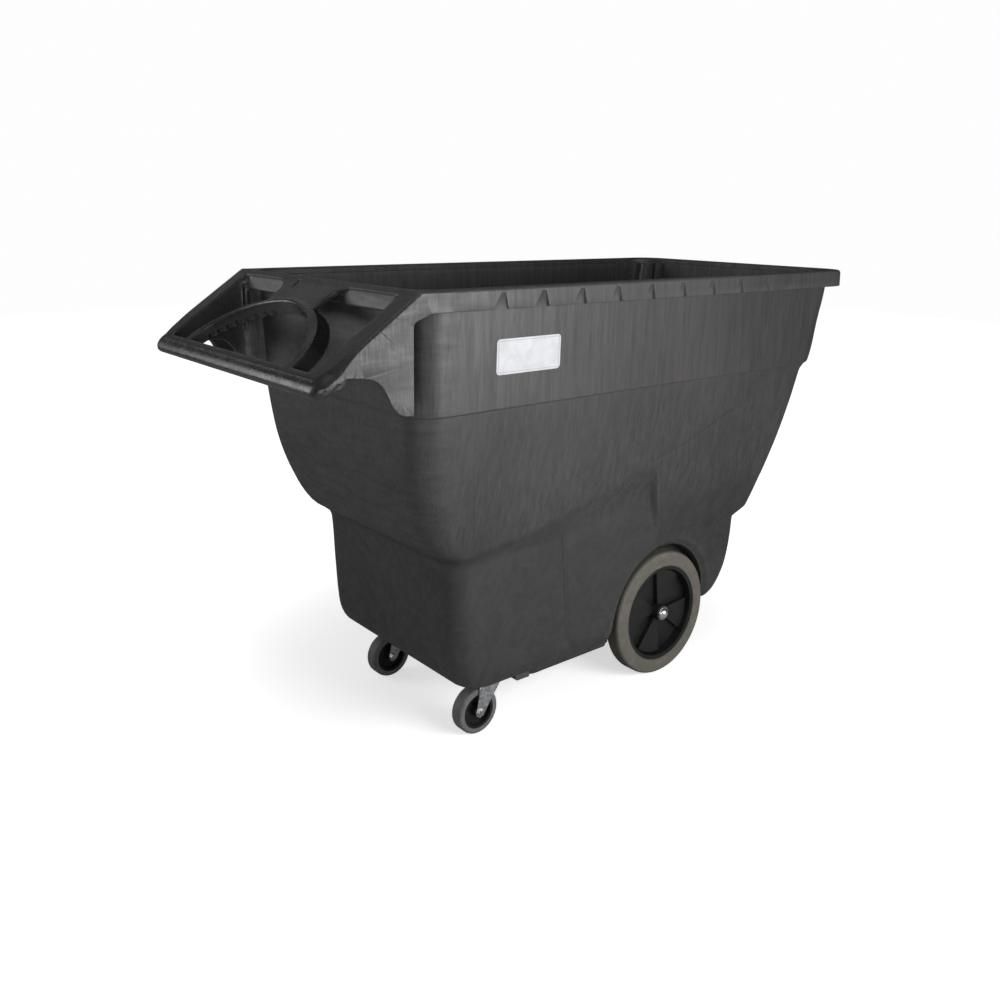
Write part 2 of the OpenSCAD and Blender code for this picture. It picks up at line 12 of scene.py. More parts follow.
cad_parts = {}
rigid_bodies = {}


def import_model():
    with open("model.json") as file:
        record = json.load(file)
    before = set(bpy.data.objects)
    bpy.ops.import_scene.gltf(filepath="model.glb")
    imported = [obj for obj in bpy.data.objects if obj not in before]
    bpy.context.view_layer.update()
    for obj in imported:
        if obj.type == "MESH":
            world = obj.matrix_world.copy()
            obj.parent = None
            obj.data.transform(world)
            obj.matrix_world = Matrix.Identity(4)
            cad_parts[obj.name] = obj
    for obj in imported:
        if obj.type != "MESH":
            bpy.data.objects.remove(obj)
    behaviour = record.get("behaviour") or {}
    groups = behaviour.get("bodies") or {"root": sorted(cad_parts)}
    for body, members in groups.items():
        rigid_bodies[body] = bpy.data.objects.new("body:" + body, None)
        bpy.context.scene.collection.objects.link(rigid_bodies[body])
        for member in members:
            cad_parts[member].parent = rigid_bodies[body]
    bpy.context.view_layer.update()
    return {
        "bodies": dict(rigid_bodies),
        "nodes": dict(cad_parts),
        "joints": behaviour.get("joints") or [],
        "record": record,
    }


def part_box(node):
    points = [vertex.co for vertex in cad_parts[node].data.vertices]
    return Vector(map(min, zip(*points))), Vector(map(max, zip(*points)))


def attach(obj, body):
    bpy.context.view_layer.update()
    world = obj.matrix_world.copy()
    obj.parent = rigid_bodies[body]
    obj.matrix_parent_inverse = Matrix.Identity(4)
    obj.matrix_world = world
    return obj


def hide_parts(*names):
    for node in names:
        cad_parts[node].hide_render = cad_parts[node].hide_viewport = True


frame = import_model()
MM = 0.001
SIDES = (-1, 1)

# ---------------------------------------------------------------- driving dimensions
tub_lo, tub_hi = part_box("tub")
tyre_lo, tyre_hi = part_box("tyre_left")
BAR_FACE_X = tub_lo.x / MM       # outer face of the grip bar
NOSE_FACE_X = tub_hi.x / MM      # outer face of the nose rim
RIM_Z = tub_hi.z / MM
FACE_Y = tub_hi.y / MM - 0.15    # outer face of the rim flange and of the side plates
AXLE_X = (tyre_lo.x + tyre_hi.x) / 2 / MM
WHEEL_R = (tyre_hi.x - tyre_lo.x) / 2 / MM
AXLE_Z = WHEEL_R
BAR_R = 18.0
BAR_X, BAR_Z = BAR_FACE_X + BAR_R, 823.0
RIM_X = BAR_FACE_X + 202.0       # where the sloped deck meets the level rim
RIM_DEPTH = 40                   # height of the rim's hanging face
RIM_ROUND = 7                    # radius along the rim's outer top edge
WALL = 8.0


# ---------------------------------------------------------------- curves
def smooth(t):
    t = np.clip(t, 0.0, 1.0)
    return t * t * (3 - 2 * t)


def ramp(x, start, end):
    """Smooth rise from 0 at start to 1 at end."""
    return smooth((np.asarray(x, float) - start) / (end - start))


def clamp(value):
    return min(max(value, 0), 1)


def bell(offset, width):
    return np.exp(-(offset / width) ** 2)


def monotone(table):
    """Monotone cubic through the stations of a table."""
    x = np.array([p[0] for p in table], float)
    y = np.array([p[1] for p in table], float)
    gap = np.diff(x)
    slope = np.diff(y) / gap
    tangent = np.zeros(len(x))
    tangent[0], tangent[-1] = slope[0], slope[-1]
    for i in range(1, len(x) - 1):
        if slope[i - 1] * slope[i] > 0:
            w1, w2 = 2 * gap[i] + gap[i - 1], gap[i] + 2 * gap[i - 1]
            tangent[i] = (w1 + w2) / (w1 / slope[i - 1] + w2 / slope[i])

    def curve(at):
        at = np.clip(np.asarray(at, float), x[0], x[-1])
        i = np.clip(np.searchsorted(x, at, side="right") - 1, 0, len(gap) - 1)
        t = (at - x[i]) / gap[i]
        return ((2 * t**3 - 3 * t**2 + 1) * y[i] + (t**3 - 2 * t**2 + t) * gap[i] * tangent[i]
                + (3 * t**2 - 2 * t**3) * y[i + 1] + (t**3 - t**2) * gap[i] * tangent[i + 1])
    return curve


def steps(start, stop, step):
    """Even stations from start up to, but not including, stop."""
    n = max(1, int(round((stop - start) / step)))
    return [start + (stop - start) * i / n for i in range(n)]


def arc(cx, cy, r, start, end, n):
    """Points along an arc between two angles in degrees."""
    angles = [math.radians(start + (end - start) * i / n) for i in range(n + 1)]
    return [(cx + r * math.cos(a), cy + r * math.sin(a)) for a in angles]


def spline(points, n):
    """Catmull-Rom through the points, n steps to each span."""
    out = []
    P = [Vector(p) for p in points]
    for i in range(len(P) - 1):
        a, b, c, d = P[max(i - 1, 0)], P[i], P[i + 1], P[min(i + 2, len(P) - 1)]
        for j in range(n):
            t = j / n
            p = 0.5 * ((2 * b) + (c - a) * t + (2 * a - 5 * b + 4 * c - d) * t * t
                       + (3 * b - a - 3 * c + d) * t ** 3)
            out.append((p.x, p.y))
    out.append(tuple(P[-1]))
    return out


def rounded(poly, r, n=5):
    """Polygon with its corners rounded."""
    out = []
    for i in range(len(poly)):
        corner, before, after = (Vector(poly[j % len(poly)]) for j in (i, i - 1, i + 1))
        back, ahead = before - corner, after - corner
        reach = min(r, back.length * 0.45, ahead.length * 0.45)
        first = corner + back.normalized() * reach
        last = corner + ahead.normalized() * reach
        for j in range(n + 1):
            t = j / n
            p = first * (1 - t) ** 2 + corner * 2 * t * (1 - t) + last * t * t
            out.append((p.x, p.y))
    return out


def on_side(points, side):
    return [(a, side * b) for a, b in points]


# ---------------------------------------------------------------- mesh helpers
def link_object(name, mesh):
    obj = bpy.data.objects.new(name, mesh)
    bpy.context.scene.collection.objects.link(obj)
    return obj


def new_object(name, verts, faces):
    """Object from vertices in millimetres."""
    mesh = bpy.data.meshes.new(name)
    mesh.from_pydata([[c * MM for c in p] for p in verts], [], faces)
    mesh.validate()
    mesh.update()
    return link_object(name, mesh)


def skin(rings, name):
    """Closed solid through a row of same-length rings, capped at both ends."""
    m, n = len(rings[0]), len(rings)
    faces = [tuple(range(m - 1, -1, -1))]
    for j in range(n - 1):
        a = j * m
        faces += [(a + i, a + (i + 1) % m, a + m + (i + 1) % m, a + m + i) for i in range(m)]
    faces.append(tuple((n - 1) * m + i for i in range(m)))
    return new_object(name, np.vstack(rings).tolist(), faces)


def loft(sections, name):
    """Skin whose faces are turned outwards whichever way its sections run."""
    obj = skin(sections, name)
    bm = bmesh.new()
    bm.from_mesh(obj.data)
    if bm.calc_volume(signed=True) < 0:
        bmesh.ops.reverse_faces(bm, faces=bm.faces)
        bm.to_mesh(obj.data)
    bm.free()
    return obj


def prism(poly, h0, h1, name, place):
    """Closed prism over a polygon; place maps (a, b, height) to frame millimetres."""
    poly = [tuple(p) for p in poly]
    n = len(poly)
    area = sum(poly[i][0] * poly[(i + 1) % n][1] - poly[(i + 1) % n][0] * poly[i][1]
               for i in range(n))
    if area < 0:
        poly = poly[::-1]
    verts = [place(a, b, h) for h in (h0, h1) for a, b in poly]
    faces = [tuple(range(n - 1, -1, -1)), tuple(range(n, 2 * n))]
    faces += [(i, (i + 1) % n, n + (i + 1) % n, n + i) for i in range(n)]
    obj = new_object(name, verts, faces)
    # a mirrored placement turns the faces inside out
    origin = Vector(place(0, 0, 0))
    a, b, c = (Vector(place(*p)) - origin for p in ((1, 0, 0), (0, 1, 0), (0, 0, 1)))
    if a.cross(b).dot(c) < 0:
        obj.data.flip_normals()
    return obj


def revolve(profile, n, name, origin, axis):
    """Solid of revolution; profile is (radius, height along axis), with radius 0 at both ends."""
    turn = Vector((0, 0, 1)).rotation_difference(Vector(axis).normalized())
    verts, rings = [], []
    for r, h in profile:
        count = 1 if r < 1e-6 else n
        rings.append(list(range(len(verts), len(verts) + count)))
        for i in range(count):
            a = 2 * math.pi * i / n
            spoke = Vector((0, 0, h)) if count == 1 else Vector((r * math.cos(a), r * math.sin(a), h))
            verts.append(turn @ spoke + Vector(origin))
    faces = []
    for a, b in zip(rings, rings[1:]):
        for i in range(n):
            j = (i + 1) % n
            if len(a) == 1:
                faces.append((a[0], b[j], b[i]))
            elif len(b) == 1:
                faces.append((a[i], a[j], b[0]))
            else:
                faces.append((a[i], a[j], b[j], b[i]))
    # scaled as vectors, so the rounding stays single precision
    mesh_verts = [p * MM for p in verts]
    mesh = bpy.data.meshes.new(name)
    mesh.from_pydata([list(p) for p in mesh_verts], [], faces)
    mesh.validate()
    mesh.update()
    return link_object(name, mesh)


def apply_modifiers(obj):
    bpy.context.view_layer.update()
    depsgraph = bpy.context.evaluated_depsgraph_get()
    mesh = bpy.data.meshes.new_from_object(obj.evaluated_get(depsgraph))
    obj.modifiers.clear()
    old = obj.data
    obj.data = mesh
    bpy.data.meshes.remove(old)


def delete(obj):
    mesh = obj.data
    bpy.data.objects.remove(obj)
    bpy.data.meshes.remove(mesh)


# The manifold solver is preferred; builds without it fall back to the exact one.
solver_items = bpy.types.BooleanModifier.bl_rna.properties["solver"].enum_items
SOLVER = "MANIFOLD" if "MANIFOLD" in {i.identifier for i in solver_items} else "EXACT"


def boolean(obj, operation, *tools):
    """Apply the tools to obj one after another and delete them."""
    for tool in tools:
        mod = obj.modifiers.new("boolean", "BOOLEAN")
        mod.operation, mod.object, mod.solver = operation, tool, SOLVER
        apply_modifiers(obj)
        if len(obj.data.polygons) == 0:
            raise RuntimeError("empty result from " + tool.name)
        delete(tool)


def join(objs, name):
    bm = bmesh.new()
    for obj in objs:
        bm.from_mesh(obj.data)
    mesh = bpy.data.meshes.new(name)
    bm.to_mesh(mesh)
    bm.free()
    for obj in objs:
        delete(obj)
    return link_object(name, mesh)


# ---------------------------------------------------------------- tub: measured profile
# (height, x) of the handle-end wall and of the nose
end_x = monotone([
    (130, -340), (134, -358), (142, -376), (152, -389), (165, -399), (184, -407), (205, -411),
    (300, -418), (408, -425), (420, -429), (432, -441), (446, -461), (462, -475), (485, -490),
    (515, -504), (550, -518), (590, -530), (629, -538), (717, -548), (741, -550), (748, -552),
    (937, -559), (980, -560)])
nose_x = monotone([
    (115, 352), (119, 382), (130, 418), (146, 455), (170, 478), (200, 499), (230, 513),
    (256, 522), (300, 531), (338, 536), (342, 538.5), (350, 547), (366, 560), (371, 563.5),
    (377, 567), (400, 578), (470, 606), (545, 630.5), (640, 655), (722, 673), (730, 677),
    (742, 692), (750, 700), (850, 726), (937, 748), (980, 752)])
# (height, half width) of the upper wall, the lower body and the band under the rim
upper_half = monotone([
    (300, 246), (366, 257), (420, 267.5), (460, 275.5), (500, 284), (550, 294), (650, 311),
    (741, 324), (760, 326)])
lower_half = monotone([
    (115, 226), (130, 232), (136, 237.5), (145, 243.5), (156, 247.5), (170, 249.5),
    (190, 250.5), (400, 256), (760, 262)])
band_half = monotone([(740, 328), (937, 335), (980, 336.4)])
# (height, corner radius in plan) at the handle end and at the nose
end_radius = monotone([
    (115, 20), (130, 30), (165, 48), (400, 50), (470, 56), (747, 60), (980, 62)])
nose_radius = monotone([
    (115, 56), (165, 60), (200, 68), (256, 76), (377, 82), (545, 80), (650, 84), (748, 90),
    (980, 88)])
# (x, height) of the shoulder along the side and of the crease above the fender
shoulder_z = monotone([
    (-480, 424), (-390, 428), (-322, 436), (-243, 444), (-160, 455), (-42, 476), (85, 498),
    (160, 506)])
crease_z = monotone([
    (60, 545), (111, 561), (202, 590), (300, 630), (400, 667), (520, 706), (660, 744)])


def half_width(x, z):
    """Outer half width at stations x: band, upper wall, shoulder, fender, lower body."""
    upper, lower = float(upper_half(z)), float(lower_half(z))
    # shoulder: a soft step that spreads towards the nose
    spread = 20 + 34 * ramp(x, -380, 80)
    wall = lower + (upper - lower) * smooth((z - (shoulder_z(x) - spread)) / (2 * spread))
    # shallow groove beside the wheel, and the slightly raised panel on its nose side
    groove_depth, groove_width, panel_rise = 3.4, 6.0, 2.0
    groove_x = -116 - (z - 300) * 0.10 + 60 * clamp((185 - z) / 60) ** 2
    inside = float(ramp(z, 140, 165) * ramp(z, 452, 412))
    wall = wall - groove_depth * bell(x - groove_x, groove_width) * inside
    wall = wall + panel_rise * ramp(x, groove_x, groove_x + 30) * ramp(x, 110, 50) * inside
    # belly: tapers towards the nose and tucks in by up to 10 mm at the bottom
    belly = lower - 0.055 * np.clip(x - 120, 0, 400) - 10 * float(ramp(z, 230, 120)) * ramp(x, 120, 280)
    base = wall + (belly - wall) * ramp(x, 60, 220) * float(ramp(z, 420, 345))
    # fender: blends between its widths at x = 165 and x = 400, from its front edge to the nose
    t = np.clip((x - 165.0) / 235.0, -1.0, 1.04)
    fender = (1 - t) * (287 + (z - 361) * 0.046) + t * (256 + (z - 366) * 0.187)
    fender = np.minimum(fender, upper + 0.4)
    edge_x = 106 + (560 - z) * 0.27
    ledge = clamp((z - 341) / 29.0)
    body = base + (fender - base) * ramp(x, edge_x, edge_x + 17) * ledge
    # above the crease the upper wall takes over; the crease is a fine groove
    crease_depth, crease_width = 1.1, 3.2
    crease = crease_z(x)
    body = body + (upper - body) * smooth((z - crease + 3.0) / 6.0) * ramp(x, 0, 50)
    body = body - (crease_depth * bell(z - crease, crease_width)
                   * ramp(x, 95, 115) * ramp(x, 500, 330))
    # edge of the wheel housing curls in by 11 mm
    to_axle = np.hypot(x - AXLE_X, z - AXLE_Z)
    body = body - 11.0 * smooth((190 - to_axle) / 20)
    if z > 741:
        body = body + (float(band_half(z)) - body) * float(ramp(z, 742.5, 745.6))
    return body


# ---------------------------------------------------------------- tub: rings
def ring_grid(zones, **counts):
    """How finely a ring is cut: segment counts, and side zones as (from x, to x, step)."""
    stations = []
    for a, b, step in zones:
        n = max(1, round((a - b) / step))
        stations += [a + (b - a) * i / n for i in range(n)]
    return SimpleNamespace(stations=stations, first=zones[0][0], last=zones[-1][1], **counts)


FINE = ring_grid(
    [(290, 182, 6.0), (182, 98, 2.0), (98, -56, 5.5), (-56, -146, 3.0), (-146, -170, 6.0)],
    nose_flat=10, nose_corner=22, nose_side=62, end_side=40, end_corner=18, end_flat=14)
COARSE = ring_grid(
    [(290, 190, 10.0), (190, 98, 4.0), (98, -170, 12.0)],
    nose_flat=8, nose_corner=22, nose_side=24, end_side=16, end_corner=12, end_flat=8)


def half_outline(grid, xa, xb, ra, rb, half):
    """Half of a rounded rectangle, y >= 0, from the nose centre (xb, radius rb) round
    to the centre of the handle end (xa, radius ra)."""
    quarter = math.pi / 2
    p = [(xb, (half - rb) * i / grid.nose_flat) for i in range(grid.nose_flat)]
    for i in range(grid.nose_corner):
        a = quarter * i / grid.nose_corner
        p.append((xb - rb + rb * math.cos(a), half - rb + rb * math.sin(a)))
    p += [(xb - rb + (grid.first - xb + rb) * i / grid.nose_side, half)
          for i in range(grid.nose_side)]
    p += [(x, half) for x in grid.stations]
    p += [(grid.last + (xa + ra - grid.last) * i / grid.end_side, half)
          for i in range(grid.end_side)]
    for i in range(grid.end_corner):
        a = quarter + quarter * i / grid.end_corner
        p.append((xa + ra + ra * math.cos(a), half - ra + ra * math.sin(a)))
    p += [(xa, (half - ra) * (1 - i / grid.end_flat)) for i in range(grid.end_flat + 1)]
    return np.array(p)


def closed_ring(half, z):
    """Whole ring at height z from its y >= 0 half."""
    mirror = half[1:-1][::-1].copy()
    mirror[:, 1] *= -1
    return np.column_stack([np.vstack([half, mirror]), np.full(2 * len(half) - 2, z)])


def tub_ring(z, section=None, inset=0.0, ribs=0.0, grid=FINE):
    """Ring at height z with the profile of height section, shrunk by inset."""
    section = z if section is None else section
    xa = float(end_x(section)) if section >= 130 else -200.0 - (section - 115) * 0.33
    xb = float(nose_x(section))
    ra = max(8.0, float(end_radius(section)) - inset)
    rb = max(12.0, float(nose_radius(section)) - inset)
    widths = band_half if section > 744 else upper_half if section > 450 else lower_half
    nominal = float(widths(section)) - inset
    half = half_outline(grid, xa + inset, xb - inset, ra, rb, nominal)
    if ribs > 0:   # two ribs in each nose corner, 22 and 62 degrees round it
        i = np.arange(grid.nose_flat, grid.nose_flat + grid.nose_corner)
        a = (i - grid.nose_flat) / grid.nose_corner * 90.0
        depth = ribs * (smooth((9 - np.abs(a - 22)) / 4) + smooth((9 - np.abs(a - 62)) / 4))
        half[i, 0] -= depth * np.cos(np.radians(a))
        half[i, 1] -= depth * np.sin(np.radians(a))
    x = np.clip(half[:, 0], xa + ra * 0.5, xb - rb * 0.35)
    half[:, 1] *= (half_width(x, section) - inset) / nominal
    return closed_ring(half, z)


def rim_ring(z, inset):
    half = half_outline(FINE, RIM_X - 8 + 2.2 * inset, NOSE_FACE_X - inset,
                        70 - inset, 70 - inset, FACE_Y - inset)
    return closed_ring(half, z)


# ---------------------------------------------------------------- tub: solids
def outer_skin():
    foot = [115, 116, 119, 124, 129.9]
    wall = ([130.0, 130.6, 132, 134, 137, 141, 146, 152, 159, 167, 176]
            + steps(186, 338, 8) + steps(338, 378, 2.6) + steps(378, 560, 4.4)
            + steps(560, 741, 3.6)
            + [741, 742.6, 743.4, 744.2, 745, 745.8, 748, 754] + steps(766, 930, 20) + [930])
    rings = [tub_ring(z) for z in foot] + [tub_ring(130.0, foot[-1])]
    rings += [tub_ring(z) for z in wall] + [tub_ring(RIM_Z - 10, 950)]
    # underside and hanging face of the rim: depth below the top, inset
    rings += [rim_ring(RIM_Z - depth, inset) for depth, inset in (
        (9, 9), (38, 9), (RIM_DEPTH, 6.5), (RIM_DEPTH, 2.0), (39.4, 0.6), (38, 0.0), (22, 0.0))]
    for i in range(7):
        a = math.pi / 2 * i / 6
        rings.append(rim_ring(RIM_Z - RIM_ROUND + RIM_ROUND * math.sin(a),
                              RIM_ROUND - RIM_ROUND * math.cos(a)))
    # rounded lip of the mouth
    for i in range(6):
        a = math.pi / 2 * i / 5
        rings.append(tub_ring(RIM_Z - 5 + 5 * math.cos(a), 975, 2 + 5 * math.sin(a)))
    return skin(rings, "tub_moulding")


def cavity_skin():
    levels = ([142, 150, 160, 172, 186] + steps(200, 340, 14) + steps(340, 400, 6)
              + steps(400, 560, 9) + steps(560, 740, 12) + [740, 752] + steps(770, 940, 24))
    rings = [tub_ring(z, section, WALL, grid=COARSE)
             for z, section in ((123, 115), (138, 129), (138, 130))]
    for z in levels:
        rings.append(tub_ring(z, max(130.0, z - 6), WALL + 2.0 * float(ramp(z, 700, 900)),
                              15.0 * float(ramp(z, 520, 640)), COARSE))
    # the ribs fade out below the mouth: height, section, inset, rib depth
    for z, section, inset, ribs in (
            (950, 945, 10, 15), (962.4, 956, 10, 15), (963.4, 958, 9.0, 8),
            (964.4, 960, 7.4, 0), (RIM_Z + 4, 975, 7.15, 0)):
        rings.append(tub_ring(z, section, inset, ribs, COARSE))
    return skin(rings, "tub_cavity")


def well(side, grow, flare=0.0):
    """Wheel well about the axle, grown by grow, opening by flare at its outer edge."""
    inner_y, flare_y, flare_w, outer_y = 187 - grow, 222, 22, 330
    r = WHEEL_R + 16.0 + grow
    profile = [(0, inner_y), (r, inner_y), (r, flare_y)]
    profile += [(r + flare * t * t, flare_y + flare_w * t) for t in (0.25, 0.5, 0.75, 1.0)]
    profile += [(r + flare, outer_y), (0, outer_y)]
    return revolve(profile, 120, "well", (AXLE_X, 0, AXLE_Z), (0, side, 0))


def axle_tunnel(grow):
    r = 20 + grow
    top = AXLE_Z + 16 + grow
    poly = [(-r, 60), (r, 60)] + arc(r - 8, top - 8, 8, 0, 90, 6)
    poly += arc(-r + 8, top - 8, 8, 90, 180, 6)
    return prism(poly, -200, 200, "tunnel", lambda a, b, h: (AXLE_X + a, -h, b))


def runner(side):
    """Short runner under the handle end of the bottom."""
    poly = [(-239, 130.5), (-236, 117), (-233, 115), (-199, 115), (-199, 131.5), (-238, 131.5)]
    return prism(poly, 206, 229, "runner", lambda a, b, h: (a, side * h, b))


def rim_notches(side):
    """Row of wedge-shaped recesses along the hanging face of the rim."""
    first_x, pitch = -388, 99.5
    fades = (0.55, 0.9, 1, 1, 1, 1, 0.95, 0.85, 0.7, 0.5)
    bottom, top, outer = RIM_Z - 44, RIM_Z - 6.5, FACE_Y + 2
    cutters = []
    for i, fade in enumerate(fades):
        x = first_x + pitch * i
        deep, shallow = FACE_Y - 8.0 * fade, FACE_Y - 1.0 * fade
        corners = [(x - 27, outer, bottom), (x + 17, outer, bottom),
                   (x - 3, outer, top), (x + 7, outer, top),
                   (x - 20, deep, bottom), (x + 14, deep, bottom),
                   (x - 2, shallow, top - 3), (x + 6, shallow, top - 3)]
        bm = bmesh.new()
        verts = [bm.verts.new((a * MM, side * b * MM, c * MM)) for a, b, c in corners]
        bmesh.ops.convex_hull(bm, input=verts)
        bmesh.ops.recalc_face_normals(bm, faces=bm.faces)
        mesh = bpy.data.meshes.new("notch")
        bm.to_mesh(mesh)
        bm.free()
        cutters.append(link_object("notch", mesh))
    return join(cutters, "notches")


tub = outer_skin()
cavity = cavity_skin()
boolean(cavity, "DIFFERENCE", well(1, WALL), well(-1, WALL), axle_tunnel(WALL))
boolean(tub, "DIFFERENCE", cavity)
boolean(tub, "DIFFERENCE", well(1, 0, flare=9.0), well(-1, 0, flare=9.0), axle_tunnel(0))
for side in SIDES:
    boolean(tub, "UNION", runner(side))
for side in SIDES:
    boolean(tub, "DIFFERENCE", rim_notches(side))

# ---------------------------------------------------------------- handle: its sloped deck plane
deck_angle = math.atan2(RIM_Z - BAR_Z - BAR_R * 0.81, -(BAR_X - RIM_X) + BAR_R * 0.586)
COS, SIN = math.cos(deck_angle), math.sin(deck_angle)


def on_deck(u, v, w):
    """Deck coordinates (u up the slope, v across, w off the surface) to the frame."""
    return (RIM_X + u * COS - w * SIN, v, RIM_Z + u * SIN + w * COS)


def to_deck(x, z):
    dx, dz = x - RIM_X, z - RIM_Z
    return dx * COS + dz * SIN, -dx * SIN + dz * COS


BAR_U, BAR_W = to_deck(BAR_FACE_X + 19.9, BAR_Z + 2.0)
# superellipses round the hand opening: half width, depth, exponent
OPENING = (209, 142, 1.85)
RAIL_FOOT = (229, 158, 1.9)
OPENING_U = 222                  # distance of their straight edge down the slope
CURVE_STEPS = 48


def hand_point(t, half, depth, power):
    c, s = math.cos(t), math.sin(t)
    return (-(OPENING_U - depth * abs(s) ** (2 / power)),
            half * math.copysign(abs(c) ** (2 / power), c))


def hand_curve(shape):
    return [hand_point(math.pi * i / CURVE_STEPS, *shape) for i in range(CURVE_STEPS + 1)]


# ---------------------------------------------------------------- handle: pieces
def grip_bar():
    """Flattened bar across the end, turning up into the side strips."""
    half_w, half_t, bend = 22.0, 15.5, 7.0
    path = [(BAR_U + 70, FACE_Y - half_w, 0.0)]
    for i in range(9):
        t = math.pi / 2 * i / 8
        path.append((BAR_U + bend - bend * math.sin(t),
                     FACE_Y - half_w - bend + bend * math.cos(t), t))
    sections = []
    for u, v, t in path + [(u, -v, math.pi - t) for u, v, t in path[::-1]]:
        out_u, out_v = -math.sin(t), math.cos(t)      # outward in the deck plane
        sections.append([
            on_deck(u + out_u * half_w * math.cos(g), v + out_v * half_w * math.cos(g),
                    BAR_W + half_t * math.sin(g))
            for g in (2 * math.pi * i / 40 for i in range(40))])
    return loft(sections, "bar")


def deck():
    """Sloped slab with the hand opening, a pocket on each side and a small slot."""
    edge = FACE_Y - 6
    outline = [(BAR_U, -328), (BAR_U, 328), (BAR_U + 16, 336), (BAR_U + 34, 342),
               (BAR_U + 90, edge), (6, edge), (6, -edge), (BAR_U + 90, -edge),
               (BAR_U + 34, -342), (BAR_U + 16, -336)]
    slab = prism(outline, -10.0, 0.0, "deck", on_deck)
    tools = [prism(hand_curve(OPENING), -60, 60, "hand", on_deck)]
    pocket_outline = [(-14, 305), (-14, 134), (-24, 112), (-38, 101), (-58, 96),
                      (-222, 96), (-222, 296), (-212, 305)]
    for side in SIDES:
        outline = rounded(on_side(pocket_outline, side), 9)
        pocket = prism(outline, -60, 60, "pocket", on_deck)
        boolean(pocket, "DIFFERENCE",
                prism(hand_curve(RAIL_FOOT), -70, 70, "keep", on_deck))
        tools.append(pocket)
    slot = [(-36, 57), (-34, 61), (-12, 64), (-9, 62), (-11, 58), (-34, 55)]
    tools.append(prism(slot, -20, 20, "slot", on_deck))
    boolean(slab, "DIFFERENCE", *tools)
    return slab


def side_strip(side):
    """Strip beside the pocket, deeper than the deck."""
    outline = [(BAR_U + 12, 305), (BAR_U + 12, 332), (BAR_U + 34, 342),
               (BAR_U + 90, FACE_Y - 6), (-2, FACE_Y - 6), (-2, 305)]
    return prism(on_side(outline, side), -18, -1.0, "strip", on_deck)


def side_edge(side):
    """Rounded outer edge, opening out from the end of the bar."""
    sections = []
    for i in range(13):
        u = BAR_U + 26 + (-1 - BAR_U - 26) * i / 12
        r = 7 + 15 * max(0.0, 1 - (u - BAR_U - 26) / 62) ** 1.5
        outline = [(FACE_Y - 26, -26), (FACE_Y, -26)]
        outline += arc(FACE_Y - r, -r, r, 0, 90, 8) + [(FACE_Y - 26, 0)]
        sections.append([on_deck(u, side * a, b) for a, b in outline])
    return loft(sections, "edge")


def flange_corner(side):
    """Level corner of the flange with the same rounded edge."""
    outline = [(FACE_Y - 9.5, RIM_Z - RIM_DEPTH), (FACE_Y, RIM_Z - RIM_DEPTH)]
    outline += arc(FACE_Y - RIM_ROUND, RIM_Z - RIM_ROUND, RIM_ROUND, 0, 90, 6)
    outline += [(286, RIM_Z), (286, RIM_Z - 10), (FACE_Y - 9.5, RIM_Z - 10)]
    return prism(outline, RIM_X + 1, RIM_X + 72, "corner", lambda a, b, h: (h, side * a, b))


def pocket_slope(side):
    """Sloped face under the upper end of the pocket."""
    outline = [(-12, -2), (-35, -26), (-31, -30), (8, -34), (8, -8)]
    return prism(outline, 108, 314, "slope", lambda a, b, h: on_deck(a, side * h, b))


def opening_rail():
    """Rail round the hand opening: rounded top, spreading outer wall, scalloped sides."""
    sections = []
    for i, (inner, outer) in enumerate(zip(hand_curve(OPENING), hand_curve(RAIL_FOOT))):
        p, q = Vector(inner), Vector(outer)
        out = (q - p).normalized()
        swell = math.sin(math.pi * i / CURVE_STEPS) ** 0.5
        top = -3.0 + 9.0 * swell
        outline = [(p, -24 - 5 * swell), (q + out * (9.0 * swell), -26 - 10 * swell),
                   (p + (q - p) * 0.95, top - 7), (p + out * 13.0, top - 2),
                   (p + out * 7.0, top), (p + out * 2.0, top - 1.0), (p, top - 4.0)]
        sections.append([on_deck(at.x, at.y, w) for at, w in outline])
    rail = loft(sections, "rail")
    scallops = []
    for side in SIDES:
        for i in range(8):
            u, v = hand_point(math.radians(17 + 7.4 * i), *OPENING)
            outline = arc(u, side * v, 6.5, 0, 345, 23)
            scallops.append(prism(outline, -44, -17, "scallop", on_deck))
    boolean(rail, "DIFFERENCE", *scallops)
    return rail


# (x, height) along the curved lower edge of the side plate
PLATE_LOW = [
    (-752, 826), (-739.5, 832.1), (-718.9, 839.3), (-702, 839.9), (-685.1, 838.3),
    (-668.1, 835.0), (-655, 828.5), (-644.2, 818.0), (-635.3, 802.6), (-626.6, 785.4),
    (-615.5, 771.5), (-604, 765.3), (-590, 762.8), (-583.3, 762.3)]
# inner wall: x, half width at its foot, half width at its top, height of its foot
INNER_WALL = [
    (-740, 303, 307, 812), (-715, 302, 307, 810), (-695, 301, 307, 814), (-682, 300, 307, 822),
    (-673, 300, 307, 828), (-655, 300, 307, 829), (-636, 300, 307, 826),
    (-626, 300, 307, 818.5), (-615, 299, 307, 806.5), (-607, 298, 306, 795),
    (-600, 296, 305, 785), (-590, 291, 302, 773), (-577, 281, 293, 766),
    (-565, 272, 281, 763), (-549, 262, 266, 762)]


